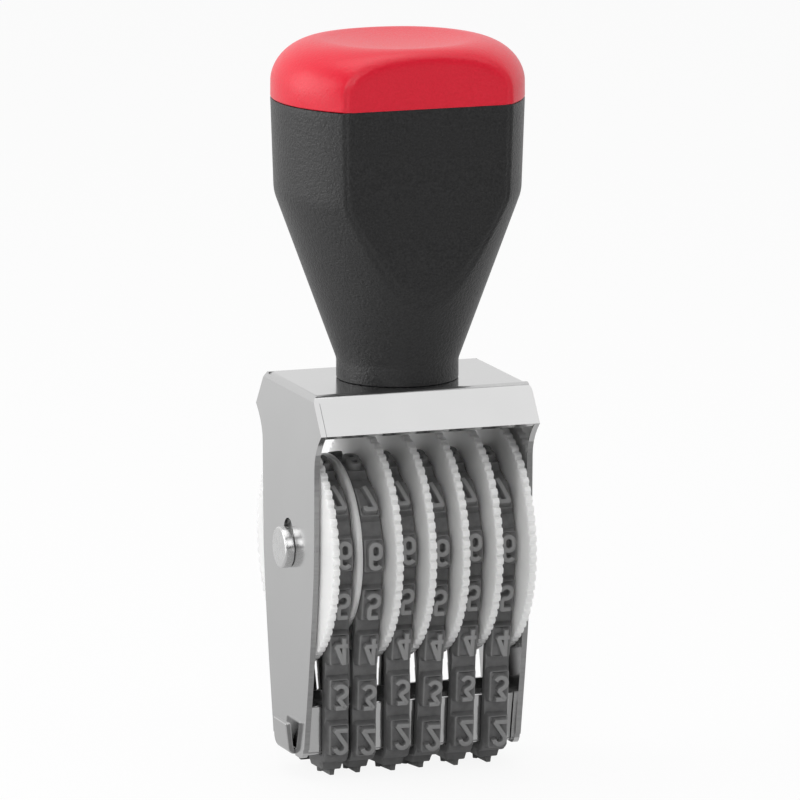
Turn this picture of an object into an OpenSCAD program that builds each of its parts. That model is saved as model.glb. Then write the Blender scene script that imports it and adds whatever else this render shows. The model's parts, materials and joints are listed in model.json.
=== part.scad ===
// Hand numbering stamp: six rubber number bands on thumbwheels in a bent steel frame.
// X runs along the axle from left to right, the operator stands at -Y, and Z is up.
// The origin is on the print face, under the middle of the frame. Millimetres.

/* [Frame] */
// Width over the outer faces of the two side plates
frame_w = 32.4; // [32.2:0.1:34]
// Thickness of the frame sheet
sheet_t = 0.8; // [0.6:0.05:0.9]
// Height of the top plate's upper face above the print face
top_z = 55.8; // [55.4:0.1:58]
// Half the depth of the flat top plate
top_half_y = 10.2; // [10:0.1:11]
// Half the depth over the lower edges of the two visors
visor_half_y = 14; // [13.5:0.1:15]
// Drop of each visor from the top plate's upper face
visor_drop = 5.2; // [4.8:0.1:5.6]
// Outer radius of the bends in the sheet
bend_r = 1.1; // [1:0.05:1.4]
// Height of the side plates' lower edge
plate_foot_z = 3.1; // [2.9:0.05:3.2]

/* [Thumbwheels] */
// Height of the axle's centre line
axle_z = 32.5; // [32.3:0.1:33]
// Outer radius over the teeth of a thumbwheel
wheel_r = 16.5; // [16:0.1:16.8]
// Teeth round a thumbwheel
tooth_count = 72; // [60:1:80]
// Depth of the notches between the teeth
tooth_depth = 0.6; // [0.4:0.05:0.8]
// Thickness of the toothed disc
disc_t = 1; // [0.8:0.05:1]
// Radius of the drum that a band runs on
drum_r = 9.75; // [9.6:0.05:9.9]
// Length of the drum
drum_len = 3.8; // [3.7:0.05:3.8]
// Outer radius of the smooth divider disc
divider_r = 12.8; // [12.3:0.1:13.2]

/* [Bands] */
// Width of a rubber band
band_w = 3.6; // [3.4:0.05:3.7]
// Thickness of the plain band between its pads
band_t = 1.2; // [1:0.05:1.3]
// Height of a pad above the plain band
pad_h = 1.1; // [0.9:0.05:1.2]
// Width of a pad at its top
pad_w = 2.75; // [2.6:0.05:3]
// Length of a pad at its top
pad_len = 4.5; // [4.2:0.05:4.6]
// Height of a digit above its pad
digit_h = 0.9; // [0.7:0.05:1]
// Height of the printed digit
type_size = 4; // [3.6:0.1:4.1]
// Width of the printed digit
type_w = 2.1; // [1.9:0.05:2.3]
// Width of a digit's strokes
stroke_w = 0.55; // [0.45:0.05:0.6]
// Places round a band
place_count = 15; // [15:1:15]

/* [Axle and former] */
// Radius of the axle's shaft
axle_r = 2; // [1.9:0.05:2.1]
// Radius of the axle's two heads
axle_head_r = 2.95; // [2.7:0.05:3.2]
// Thickness of the axle's heads
axle_head_t = 1.45; // [1.2:0.05:1.6]
// Thickness of the former's sheet
former_t = 0.8; // [0.6:0.05:0.9]
// Height of the former's side walls above the print face
former_top_z = 10.6; // [9.6:0.1:11]
// Width of the former's two end tabs
tab_w = 5.3; // [5:0.1:6.4]

/* [Handle] */
// Radius of the handle where the body meets the cap
handle_r = 17.8; // [17.5:0.1:18.2]
// Height of the joint between the body and the cap
seam_z = 95.7; // [94.7:0.1:96.7]
// Height of the cap's highest ring
cap_top_z = 103.9; // [103.5:0.1:104.6]
// Distance from the axis to each flat at the joint
flat_y = 12.9; // [12.4:0.1:13.2]
// Lean of the flats towards the axis, in degrees
flat_lean = 1.45; // [1:0.05:1.8]
// Radius of the collar that stands on the top plate
collar_r = 8.6; // [8.3:0.05:8.8]
// Wall of the handle body
handle_wall = 3; // [2.6:0.1:3]
// Radius of the shoulder, where the cone turns into the grip
shoulder_r = 17.35; // [17:0.05:17.5]
// Height of the shoulder
shoulder_z = 82.4; // [81.5:0.1:83.5]

/* [Hidden] */
$fn = 64;

half_w = frame_w / 2;
inner_x = half_w - sheet_t;
run_gap = 0.05;           // running gap between a part that turns and its neighbour
bite = 0.3;               // depth that one shape sinks into another it is one piece with
big = 200;

// Belt path. A place on a band is s, its length along the neutral line from the middle of
// the print face towards the front and up, and n, its height outward from that line.
neutral = band_t / 2;
path_r = drum_r + run_gap + neutral;
corner_r = 1.3;
corner_y = 3.955;
corner_z = digit_h + pad_h + neutral + corner_r;
centre_gap = norm([corner_y, axle_z - corner_z]);
run_tilt = asin((path_r - corner_r) / centre_gap) - atan2(corner_y, axle_z - corner_z);
run_len = sqrt(pow(centre_gap, 2) - pow(path_r - corner_r, 2));
corner_len = corner_r * (90 - run_tilt) * PI / 180;
s_run = corner_y + corner_len;
s_drum = s_run + run_len;
half_loop = s_drum + path_r * (90 + run_tilt) * PI / 180;
pitch = 2 * half_loop / place_count;

// The first place is the digit 1, a little ahead of the middle. Each band has its own slack.
one_s = 1.3;
slack = [0.2, -0.15, 0.25, -0.25, 0.1, -0.3];

// Direction in which a band faces at s: 0 is down, 90 is forward, 180 is up.
function facing(s) = s <= corner_y ? 0
    : s <= s_run ? (s - corner_y) / corner_r * 180 / PI
    : s <= s_drum ? 90 - run_tilt
    : 90 - run_tilt + (s - s_drum) / path_r * 180 / PI;

function front_path(s, n) = let (a = facing(s), away = [-sin(a), -cos(a)])
    s <= corner_y ? [-s, corner_z - corner_r - n]
    : s <= s_run ? [-corner_y, corner_z] + (corner_r + n) * away
    : s <= s_drum ? [-corner_y, corner_z] + (corner_r + n) * away
        + (s - s_run) * [-sin(run_tilt), cos(run_tilt)]
    : [0, axle_z] + (path_r + n) * away;

// Point [y, z] at s and n. Negative s runs up the back.
function path(s, n) = s >= 0 ? front_path(s, n)
    : let (p = front_path(-s, n)) [-p.x, p.y];

function wrap(s) = s > half_loop ? s - 2 * half_loop : s;

corner_steps = 6;
drum_steps = 26;

function corner_places() = [for (i = [0:corner_steps]) corner_y + corner_len * i / corner_steps];

function drum_places() = [for (i = [0:drum_steps]) s_drum + (half_loop - s_drum) * i / drum_steps];

// Points of the path at the given places, up the front (side 1) or the back (side -1).
function side_points(places, n, side) = [for (s = places) path(side * s, n)];

// Points of the path at the given places and on to the same places at the back.
function loop_points(places, n) = concat(side_points(places, n, 1), side_points(reversed(places), n, -1));

// Stands a [y, z] outline up and gives it a thickness along X, centred on x.
module along_x(x, thickness) {
    translate([x - thickness / 2, 0, 0])
        rotate([90, 0, 90])
            linear_extrude(thickness)
                children();
}

// Stands a [radius, z] outline up as a turned shape along X, from x towards +X.
module turned_x(x) {
    translate([x, 0, axle_z])
        rotate([0, 90, 0])
            rotate_extrude($fn = 96)
                children();
}

function arc(c, r, from, to, steps) =
    [for (i = [0:steps]) c + r * [cos(from + (to - from) * i / steps), sin(from + (to - from) * i / steps)]];

function reversed(v) = [for (i = [len(v) - 1:-1:0]) v[i]];

function mirrored(points) = concat(points, reversed([for (p = points) [-p.x, p.y]]));

function unit(v) = v / norm(v);

// Arc of radius r that rounds the corner b of the line a, b, c.
function rounded(a, b, c, r, steps) = let (
        back = unit(a - b),
        on = unit(c - b),
        half = acos(back * on) / 2,
        mid = b + r / sin(half) * unit(back + on),
        first = b + r / tan(half) * back - mid,
        last = b + r / tan(half) * on - mid)
    arc(mid, r, atan2(first.y, first.x), atan2(last.y, last.x), steps);

// ---------------------------------------------------------------- frame

neck_z = 45.6;            // side plates are narrowest just below the visors
neck_half_y = 11.1;
waist_half_y = 10.9;
foot_half_y = 6.3;
foot_round = 1.5;
slot_lift = 2.05;         // free travel of the axle above its working place
slot_r = axle_r + run_gap;
screw_hole_r = 2.2;
key_hole_r = 0.95;
key_x = 5.5;
visor_gap = 0.05;
visor_lap = 0.5;          // how far each visor laps over the edge of one side plate
notch_gap = 0.2;          // clearance of a former tab in its notch, on each side

visor_z = top_z - visor_drop;
visor_run = visor_half_y - top_half_y;
visor_slope = atan2(visor_drop, visor_run);

// Centre of the bend between the top plate and a visor, seen from the side.
bend_y = top_half_y - bend_r * tan(visor_slope / 2);
bend_z = top_z - bend_r;

function bend_arc(r) = arc([bend_y, bend_z], r, 90, 90 - visor_slope, 5);

// Half depth of the side plate at height z, below the visors.
function side_half_y(z) = z > neck_z ? neck_half_y
        + (visor_half_y - neck_half_y) * pow((z - neck_z) / (visor_z - neck_z), 2)
    : z > axle_z ? waist_half_y + (neck_half_y - waist_half_y) * (z - axle_z) / (neck_z - axle_z)
    : waist_half_y - (waist_half_y - foot_half_y) * pow((axle_z - z) / (axle_z - plate_foot_z), 1.3);

function side_outline() = mirrored(concat(
    bend_arc(bend_r),
    [[visor_half_y, visor_z]],
    [for (i = [1:5]) let (z = visor_z - (visor_z - neck_z) * i / 5) [side_half_y(z), z]],
    [for (i = [1:8]) let (z = neck_z - (neck_z - plate_foot_z - foot_round) * i / 8) [side_half_y(z), z]],
    arc([foot_half_y - foot_round, plate_foot_z + foot_round], foot_round, 0, -90, 4)
));

// Top plate and the two side plates, seen from the front.
module channel_section() {
    bend = [half_w - bend_r, bend_z];
    difference() {
        polygon(mirrored(concat(arc(bend, bend_r, 90, 0, 5), [[half_w, 0]])));
        polygon(mirrored(concat(arc(bend, bend_r - sheet_t, 90, 0, 3), [[inner_x, -1]])));
    }
}

// One visor and its bend, seen from the side.
module visor_section() {
    down = [sin(visor_slope), -cos(visor_slope)];
    inner_edge = [visor_half_y, visor_z] - sheet_t * [sin(visor_slope), cos(visor_slope)];
    polygon(concat(
        [[bend_y - bite, top_z]],
        bend_arc(bend_r),
        [[visor_half_y, visor_z], inner_edge],
        arc([bend_y, bend_z], bend_r - sheet_t, 90 - visor_slope, 90, 3),
        [[bend_y - bite, top_z - sheet_t]]
    ));
}

module visor() {
    left_end = -inner_x + visor_gap;
    right_end = inner_x + visor_lap;
    along_x((left_end + right_end) / 2, right_end - left_end)
        mirror([1, 0])
            visor_section();
}

module frame() {
    color("silver")
        difference() {
            union() {
                intersection() {
                    translate([0, big / 2, 0])
                        rotate([90, 0, 0])
                            linear_extrude(big)
                                channel_section();
                    along_x(0, frame_w + 2)
                        polygon(side_outline());
                }
                visor();
                rotate([0, 0, 180])
                    visor();
            }
            for (lift = [0, slot_lift])
                translate([-half_w - 1, 0, axle_z + lift])
                    rotate([0, 90, 0])
                        cylinder(r = slot_r, h = frame_w + 2);
            translate([-half_w - 1, -slot_r, axle_z])
                cube([frame_w + 2, 2 * slot_r, slot_lift]);
            translate([-half_w - 1, -tab_w / 2 - notch_gap, 0])
                cube([frame_w + 2, tab_w + 2 * notch_gap, former_floor_z + former_t + run_gap]);
            translate([0, 0, top_z - 2])
                cylinder(r = screw_hole_r, h = 4);
            for (side = [-1, 1])
                translate([side * key_x, 0, top_z - 2])
                    cylinder(r = key_hole_r, h = 4);
        }
}

// ---------------------------------------------------------------- former

former_gap = 0.05;
tab_lean = 7;             // degrees that a tab stands off its side plate
tab_rise = 3.6;           // length of a tab's straight part
tab_bend = 0.15;          // inner radius of the tab's bend

former_n = -neutral - former_gap;   // outer face of the former, measured from the belt path
former_floor_z = corner_z - corner_r - former_n;

// Outline of half the former at offset n, from the bottom's middle up to its wall top.
function former_half(n) = let (r = corner_r + n, wall = (former_top_z - corner_z) / cos(run_tilt)) concat(
    [for (i = [0:4]) [corner_y, corner_z]
        + max(r, 0) * [sin((90 - run_tilt) * i / 4), -cos((90 - run_tilt) * i / 4)]
        + min(r, 0) * [1, -1]],
    [[corner_y, corner_z] + r * [cos(run_tilt), -sin(run_tilt)] + wall * [sin(run_tilt), cos(run_tilt)]]
);

module former_section() {
    wall_top = reversed(former_half(former_n - former_t))[0];
    difference() {
        polygon(mirrored(former_half(former_n)));
        polygon(mirrored([
            [corner_y - 0.35, former_floor_z + former_t],
            [corner_y - 0.1, former_floor_z + former_t + 0.2],
            wall_top,
            wall_top + [0, 2]
        ]));
    }
}

// Tab that passes through the notch under a side plate and is folded up outside it.
module end_tab() {
    centre = [half_w + run_gap, former_floor_z + former_t + tab_bend];
    rise = tab_rise * [sin(tab_lean), cos(tab_lean)];
    outer = arc(centre, tab_bend + former_t, -90, -tab_lean, 6);
    inner = arc(centre, tab_bend, -tab_lean, -90, 3);
    translate([0, tab_w / 2, 0])
        rotate([90, 0, 0])
            linear_extrude(tab_w)
                polygon(concat(
                    [[inner_x - 2, former_floor_z]],
                    outer,
                    [outer[6] + rise, inner[0] + rise],
                    inner,
                    [[inner_x - 2, former_floor_z + former_t]]
                ));
}

module former() {
    color("gainsboro")
        union() {
            along_x(0, 2 * (inner_x - run_gap))
                former_section();
            end_tab();
            mirror([1, 0, 0])
                end_tab();
        }
}

// ---------------------------------------------------------------- axle

head_round = 0.3;
spigot_r = 1.3;
spigot_len = 1.1;

module axle() {
    color("lightgray")
        turned_x(-half_w - axle_head_t)
            polygon(concat(
                [[0, 0]],
                arc([axle_head_r - head_round, head_round], head_round, -90, 0, 5),
                [[axle_head_r, axle_head_t - 0.02], [axle_r, axle_head_t - 0.02]],
                [[axle_r, axle_head_t + frame_w + 0.02], [spigot_r, axle_head_t + frame_w + 0.02]],
                [[spigot_r, axle_head_t + frame_w + spigot_len], [0, axle_head_t + frame_w + spigot_len]]
            ));
}

module axle_end() {
    color("lightgray")
        turned_x(half_w + 0.02)
            polygon(concat(
                [[spigot_r, 0], [axle_head_r, 0]],
                arc([axle_head_r - head_round, axle_head_t - head_round], head_round, 0, 90, 5),
                [[0, axle_head_t], [0, spigot_len], [spigot_r, spigot_len]]
            ));
}

// ---------------------------------------------------------------- thumbwheels

bore_r = axle_r + run_gap;
boss_r = 4;
drum_wall = 1.4;
rib_count = 6;
rib_t = 0.8;
rib_drop = 0.6;
wheel_pitch = 4.94;
first_disc_x = -half_w + 0.95;
pair_disc_x = -half_w + 10.35;

function tooth_outline() = let (step = 360 / tooth_count, root_r = wheel_r - tooth_depth)
    [for (i = [0:tooth_count - 1]) let (a = i * step) each [
        wheel_r * [cos(a - 0.26 * step), sin(a - 0.26 * step)],
        wheel_r * [cos(a + 0.26 * step), sin(a + 0.26 * step)],
        root_r * [cos(a + 0.4 * step), sin(a + 0.4 * step)],
        root_r * [cos(a + 0.6 * step), sin(a + 0.6 * step)]
    ]];

// A wheel with its toothed disc from x = 0 and its drum standing towards +X.
module wheel_shape() {
    difference() {
        union() {
            linear_extrude(disc_t)
                polygon(tooth_outline());
            translate([0, 0, disc_t - bite])
                cylinder(r = drum_r, h = drum_len + bite, $fn = 96);
        }
        translate([0, 0, disc_t])
            difference() {
                cylinder(r = drum_r - drum_wall, h = drum_len + 1, $fn = 96);
                translate([0, 0, -1])
                    cylinder(r = boss_r, h = drum_len + 3);
                for (i = [0:rib_count - 1])
                    rotate([0, 0, i * 360 / rib_count])
                        translate([0, -rib_t / 2, -1])
                            cube([drum_r - 0.5, rib_t, drum_len + 1 - rib_drop]);
            }
        translate([0, 0, -1])
            cylinder(r = bore_r, h = disc_t + drum_len + 2);
    }
}

// The first wheel has its disc on the left. The others have it on the right.
module thumbwheel(k) {
    color("white")
        translate([k == 1 ? first_disc_x : pair_disc_x + disc_t + (k - 2) * wheel_pitch, 0, axle_z])
            rotate([0, k == 1 ? 90 : -90, 0])
                wheel_shape();
}

divider_web_t = 0.4;
divider_rim_t = 0.85;
divider_rim_round = 0.3;
divider_rim_r = drum_r + 0.1;
divider_mid_x = -half_w + 6.25;

// Smooth disc that keeps the two bands between the facing drums apart.
module divider_disc() {
    round_r = divider_r - divider_rim_round;
    round_x = divider_rim_t / 2 - divider_rim_round;
    color("white")
        turned_x(divider_mid_x)
            polygon(concat(
                [[bore_r, -divider_web_t / 2], [divider_rim_r, -divider_web_t / 2]],
                [[divider_rim_r, -divider_rim_t / 2]],
                arc([round_r, -round_x], divider_rim_round, -90, 0, 3),
                arc([round_r, round_x], divider_rim_round, 0, 90, 3),
                [[divider_rim_r, divider_rim_t / 2], [divider_rim_r, divider_web_t / 2]],
                [[bore_r, divider_web_t / 2]]
            ));
}

// ---------------------------------------------------------------- bands

// Middle of each band from the left plate's outer face, on its drum and at the bottom corner.
// A band leaves its drum straight. Once it is clear of the disc beside it, at creep_s, it creeps
// sideways down to the corner.
drum_u = [3.95, 8.5, 13.4, 18.35, 23.25, 28.25];
foot_u = [5.1, 9.12, 14.25, 18.76, 23.72, 28.8];
creep_s = [25.5, 19.6, 19.6, 19.6, 19.6, 19.6];
run_lap = 0.3;            // length of a slanted run inside the stretch at each of its ends
run_ease = 0.05;          // how much slimmer than those it is there, on each side
pad_draft = 0.4;          // how much wider a pad is at its foot, on each side
pad_steps = 6;
digit_sink = 0.35;
type_count = 14;          // the last place is a blank pad

// Slope of the creep, as a shift along X per length of band.
function slant(k) = (drum_u[k - 1] - foot_u[k - 1]) / (creep_s[k - 1] - s_run);

function band_x(k, s) = -half_w + foot_u[k - 1]
    + slant(k) * (min(max(abs(s), s_run), creep_s[k - 1]) - s_run);

hw = (type_w - stroke_w) / 2;
hh = (type_size - stroke_w) / 2;
bowl_r = hw + 0.05;

function side_of(points, i) = let (d = unit(points[i + 1] - points[i])) [-d.y, d.x];

// Edge points of a stroke beside points[i], on its left (side 1) or right (side -1).
function edge_at(points, i, side) = let (
        last = len(points) - 1,
        a = side_of(points, max(i - 1, 0)),
        b = side_of(points, min(i, last - 1)),
        w = side * stroke_w / 2,
        outside = side * (a.x * b.y - a.y * b.x) < 0)
    outside && a * b < 0.3
        ? [points[i] + w * a, points[i] + w * b]
        : [points[i] + w * (a + b) / (1 + a * b)];

module stroke(points) {
    last = len(points) - 1;
    polygon(concat(
        [for (i = [0:last]) each edge_at(points, i, 1)],
        [for (i = [last:-1:0]) each reversed(edge_at(points, i, -1))]
    ));
}

// Upright oval of centre line half width hw, between the heights low and high.
function oval(low, high, grow) = concat(
    arc([0, high - hw], hw + grow, 0, 180, 10),
    arc([0, low + hw], hw + grow, 180, 360, 10)
);

module ring(low, high) {
    difference() {
        polygon(oval(low, high, stroke_w / 2));
        polygon(oval(low, high, -stroke_w / 2));
    }
}

module six() {
    ring(-hh, 0.25);
    stroke(concat([[-hw, -hh + hw], [-hw, hh - hw]], arc([0, hh - hw], hw, 170, 30, 7)));
}

// Outline of the type at place k: the digits 0 to 9, then a point, a comma, a dash, a slash.
module type_face(k) {
    if (k == 0)
        ring(-hh, hh);
    if (k == 1)
        stroke([[-0.62, 0.95], [0.12, hh], [0.12, -hh - stroke_w / 2]]);
    if (k == 2)
        stroke(concat(
            arc([0, hh - bowl_r], bowl_r, 175, -30, 10),
            [[-hw, -hh], [hw + stroke_w / 2, -hh]]));
    if (k == 3)
        stroke(concat(
            [[-hw, hh], [hw - 0.1, hh], [-0.2, 0.4]],
            arc([-0.02, -hh + bowl_r + 0.1], bowl_r + 0.05, 75, -155, 10)));
    if (k == 4) {
        stroke([[0.3, hh], [-hw, -0.85], [hw + 0.2, -0.85]]);
        stroke([[0.4, hh + stroke_w / 2], [0.4, -hh - stroke_w / 2]]);
    }
    if (k == 5)
        stroke(concat(
            [[hw, hh], [-hw + 0.15, hh], [-hw + 0.15, 0.35]],
            arc([-0.05, -hh + bowl_r + 0.1], bowl_r + 0.08, 110, -155, 11)));
    if (k == 6)
        six();
    if (k == 7)
        stroke([[-hw - 0.1, hh - 0.5], [-hw - 0.1, hh], [hw, hh], [-0.3, -hh - stroke_w / 2]]);
    if (k == 8) {
        ring(-hh, 0.15 + stroke_w / 4);
        ring(0.15 - stroke_w / 4, hh);
    }
    if (k == 9)
        rotate([0, 0, 180])
            six();
    if (k == 10)
        translate([-0.35, -hh - stroke_w / 2])
            square([0.7, 0.7]);
    if (k == 11)
        stroke([[0.15, -1.1], [-0.25, -hh - stroke_w / 2]]);
    if (k == 12)
        stroke([[-hw, 0], [hw, 0]]);
    if (k == 13)
        stroke([[hw, hh], [-hw, -hh]]);
}

function on_corner(s) = abs(s) > corner_y && abs(s) < s_run;

// Places along a pad of the given half length at height n. A pad keeps its length on the drum.
function pad_edge(s, n, half) = let (reach = abs(s) > s_drum ? half * path_r / (path_r + n) : half)
    [for (i = [0:pad_steps]) path(s + reach * (2 * i / pad_steps - 1), n)];

// Stands a flat [x, along] outline on the belt path at s, from height n outward. Its along axis
// points against s.
module on_band(s, n, height) {
    p = path(s, n);
    turn = s >= 0 ? facing(s) : -facing(-s);
    translate([0, p.x, p.y])
        rotate([-turn, 0, 0])
            mirror([0, 0, 1])
                linear_extrude(height)
                    children();
}

// A pad follows the band, but stays flat where the band turns the bottom corner.
module pad(s) {
    top = neutral + pad_h;
    foot = neutral - bite;
    corner_sink = 0.8;
    if (on_corner(s))
        difference() {
            on_band(s, foot - corner_sink, pad_h + bite + corner_sink)
                square([pad_w, pad_len], center = true);
            along_x(0, band_w)
                polygon(loop_points(concat(corner_places(), drum_places()), -neutral + 0.1));
        }
    else
        along_x(0, pad_w)
            polygon(concat(
                pad_edge(s, top, pad_len / 2),
                reversed(pad_edge(s, foot, pad_len / 2 + pad_draft))
            ));
}

// Plain band over the given places, at the front and the back.
module strip(places) {
    along_x(0, band_w)
        polygon(concat(loop_points(places, neutral), reversed(loop_points(places, -neutral))));
}

// Straight run of a band between the bottom corner and its drum, slanting as the band creeps.
module slanted_run(k, side) {
    length = creep_s[k - 1] - s_run;
    mid = s_run + length / 2;
    half = [slant(k), -side] * length / 2;
    wide = [band_w / 2 - run_ease, 0];
    translate([band_x(k, mid), 0, 0])
        on_band(side * mid, run_ease / 2 - neutral, band_t - run_ease)
            polygon([half - wide, half + wide, -half + wide, -half - wide]);
}

module band(k) {
    color("dimgray")
        union() {
            translate([band_x(k, half_loop), 0, 0])
                strip(concat([creep_s[k - 1] - run_lap], drum_places()));
            translate([band_x(k, 0), 0, 0])
                strip(concat([s_run + run_lap], reversed(corner_places())));
            for (side = [-1, 1])
                slanted_run(k, side);
            for (place = [0:place_count - 1]) {
                s = wrap(one_s + slack[k - 1] + (place - 1) * pitch);
                translate([band_x(k, s), 0, 0]) {
                    pad(s);
                    if (place < type_count)
                        on_band(s, neutral + pad_h - digit_sink, digit_h + digit_sink)
                            type_face(place);
                }
            }
        }
}

// ---------------------------------------------------------------- handle

collar_h = 2.8;           // the cone starts above this collar
collar_edge = 0.2;
shoulder_round = 6;
cap_round_w = 7.2;        // width and height of the rounded rim of the cap
cap_round_h = 6.1;
rim_steps = 10;
dish_depth = 0.6;         // fall of the cap's hollowed top to its middle
pilot_r = 1.6;
pilot_len = 14;
screw_post_r = 4.4;       // post round the screw, inside the body
rib_wall = 1.6;           // ribs inside the body and the cap
cavity_z = top_z + 17;    // floor of the hollow in the body
cavity_r = 9.2;
cap_wall = 2.6;
cap_lip_h = 3;            // lip of the cap that drops into the body
lip_gap = 0.1;
lip_r = handle_r - handle_wall - lip_gap;
rib_top_z = seam_z - cap_lip_h - 1;

// Slab between the two leaning flats, moved in by inset.
module flats(inset) {
    low = flat_y - inset - (seam_z - top_z + 1) * tan(flat_lean);
    high = flat_y - inset + (cap_top_z + 1 - seam_z) * tan(flat_lean);
    along_x(0, 3 * handle_r)
        polygon([[-low, top_z - 1], [low, top_z - 1], [high, cap_top_z + 1], [-high, cap_top_z + 1]]);
}

function body_profile() = let (cone_foot = [collar_r, top_z + collar_h], seam = [handle_r, seam_z]) concat(
    [[0, top_z], [collar_r - collar_edge, top_z], [collar_r, top_z + collar_edge], cone_foot],
    rounded(cone_foot, [shoulder_r, shoulder_z], seam, shoulder_round, 4),
    [seam, [0, seam_z]]
);

// Hollow between the body's walls, with the screw post and the ribs left standing in it.
module handle_cavity() {
    difference() {
        intersection() {
            rotate_extrude($fn = 96)
                polygon([
                    [0, cavity_z],
                    [cavity_r, cavity_z],
                    [shoulder_r - handle_wall, shoulder_z + 1],
                    [handle_r - handle_wall, seam_z - 2],
                    [handle_r - handle_wall, seam_z + 1],
                    [0, seam_z + 1]
                ]);
            flats(handle_wall);
        }
        translate([0, 0, top_z])
            cylinder(r = screw_post_r, h = rib_top_z - top_z);
        for (turn = [0, 90])
            rotate([0, 0, turn])
                translate([-handle_r, -rib_wall / 2, top_z])
                    cube([2 * handle_r, rib_wall, rib_top_z - top_z]);
    }
}

module handle_body() {
    color("#2b2b2b")
        difference() {
            union() {
                intersection() {
                    rotate_extrude($fn = 128)
                        polygon(body_profile());
                    flats(0);
                }
                for (side = [-1, 1])
                    translate([side * key_x, 0, top_z - sheet_t])
                        cylinder(r = key_hole_r - run_gap, h = sheet_t + 1);
            }
            handle_cavity();
            translate([0, 0, top_z - 1])
                cylinder(r = pilot_r, h = pilot_len + 1);
        }
}

// Outside of the cap: straight up from the seam, round the rim and down into the dished top.
function cap_profile() = concat(
    [[handle_r, seam_z]],
    [for (i = [0:rim_steps]) let (a = 90 * i / rim_steps)
        [handle_r - cap_round_w * (1 - cos(a)), cap_top_z - cap_round_h * (1 - sin(a))]],
    [for (share = [0.5, 0]) [(handle_r - cap_round_w) * share, cap_top_z - dish_depth * (1 - share * share)]]
);

module cap_hollow() {
    ceiling_z = cap_top_z - dish_depth - cap_wall;
    hollow_r = lip_r - cap_wall + 1;
    difference() {
        intersection() {
            rotate_extrude($fn = 96)
                polygon([
                    [0, seam_z - cap_lip_h - 1],
                    [hollow_r, seam_z - cap_lip_h - 1],
                    [hollow_r, cap_top_z - cap_round_h],
                    [hollow_r - 2, ceiling_z],
                    [0, ceiling_z]
                ]);
            flats(handle_wall + lip_gap + rib_wall);
        }
        for (turn = [0, 60, 120])
            rotate([0, 0, turn])
                translate([-handle_r, -rib_wall / 2, seam_z - cap_lip_h + 1])
                    cube([2 * handle_r, rib_wall, cap_top_z - seam_z]);
    }
}

module handle_cap() {
    color("crimson")
        difference() {
            union() {
                intersection() {
                    rotate_extrude($fn = 128)
                        polygon(concat(cap_profile(), [[0, seam_z]]));
                    flats(0);
                }
                intersection() {
                    translate([0, 0, seam_z - cap_lip_h])
                        cylinder(r = lip_r, h = cap_lip_h + bite, $fn = 96);
                    flats(handle_wall + lip_gap);
                }
            }
            cap_hollow();
        }
}

// ---------------------------------------------------------------- fixings

washer_t = 0.8;
washer_r = 4.5;
screw_head_r = 3.6;
screw_head_h = 2.2;
head_bevel = 0.9;
shank_len = 12;
cross_len = 4.4;          // cross slot in the screw's head
cross_w = 0.8;
cross_depth = 1.2;
under_plate_z = top_z - sheet_t - washer_t;

module screw_washer() {
    color("silver")
        translate([0, 0, under_plate_z])
            difference() {
                cylinder(r = washer_r, h = washer_t);
                translate([0, 0, -1])
                    cylinder(r = screw_hole_r, h = washer_t + 2);
            }
}

module handle_screw() {
    head_foot_z = under_plate_z - screw_head_h;
    color("silver")
        difference() {
            rotate_extrude($fn = 64)
                polygon([
                    [0, head_foot_z],
                    [screw_head_r - head_bevel, head_foot_z],
                    [screw_head_r, head_foot_z + head_bevel],
                    [screw_head_r, under_plate_z],
                    [pilot_r, under_plate_z],
                    [pilot_r, top_z + shank_len - 1],
                    [pilot_r / 2, top_z + shank_len],
                    [0, top_z + shank_len]
                ]);
            for (turn = [0, 90])
                rotate([0, 0, turn])
                    translate([-cross_len / 2, -cross_w / 2, head_foot_z - 1])
                        cube([cross_len, cross_w, cross_depth + 1]);
        }
}

frame();
former();
axle();
axle_end();
thumbwheel(1);  // thumbwheel_1
thumbwheel(2);  // thumbwheel_2
thumbwheel(3);  // thumbwheel_3
thumbwheel(4);  // thumbwheel_4
thumbwheel(5);  // thumbwheel_5
thumbwheel(6);  // thumbwheel_6
divider_disc();
band(1);  // band_1
band(2);  // band_2
band(3);  // band_3
band(4);  // band_4
band(5);  // band_5
band(6);  // band_6
handle_body();
handle_cap();
handle_screw();
screw_washer();
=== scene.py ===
# Hand numbering stamp: six rubber number bands on toothed thumbwheels in a bent, plated steel
# frame, under a black handle with a red cap. Metres, X along the axle, -Y to the operator, Z up.

import json
import math

import bmesh
import bpy
from mathutils import Matrix, Vector


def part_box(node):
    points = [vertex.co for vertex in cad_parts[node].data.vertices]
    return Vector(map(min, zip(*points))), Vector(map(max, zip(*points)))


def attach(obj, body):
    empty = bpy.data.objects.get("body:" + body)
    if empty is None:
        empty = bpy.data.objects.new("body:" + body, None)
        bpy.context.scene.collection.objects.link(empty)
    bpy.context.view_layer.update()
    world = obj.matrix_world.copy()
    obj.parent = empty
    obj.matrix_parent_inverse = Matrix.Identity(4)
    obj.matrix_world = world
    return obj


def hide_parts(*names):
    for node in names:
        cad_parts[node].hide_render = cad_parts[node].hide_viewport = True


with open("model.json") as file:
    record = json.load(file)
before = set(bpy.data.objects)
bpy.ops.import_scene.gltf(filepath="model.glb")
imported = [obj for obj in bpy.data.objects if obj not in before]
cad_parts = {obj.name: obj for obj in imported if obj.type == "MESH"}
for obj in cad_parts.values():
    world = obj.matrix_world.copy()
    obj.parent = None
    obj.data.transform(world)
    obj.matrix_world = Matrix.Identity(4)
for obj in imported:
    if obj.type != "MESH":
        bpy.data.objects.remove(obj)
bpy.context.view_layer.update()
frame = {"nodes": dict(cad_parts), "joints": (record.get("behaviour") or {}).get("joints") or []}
mm = 0.001
scene = bpy.context.scene

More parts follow.
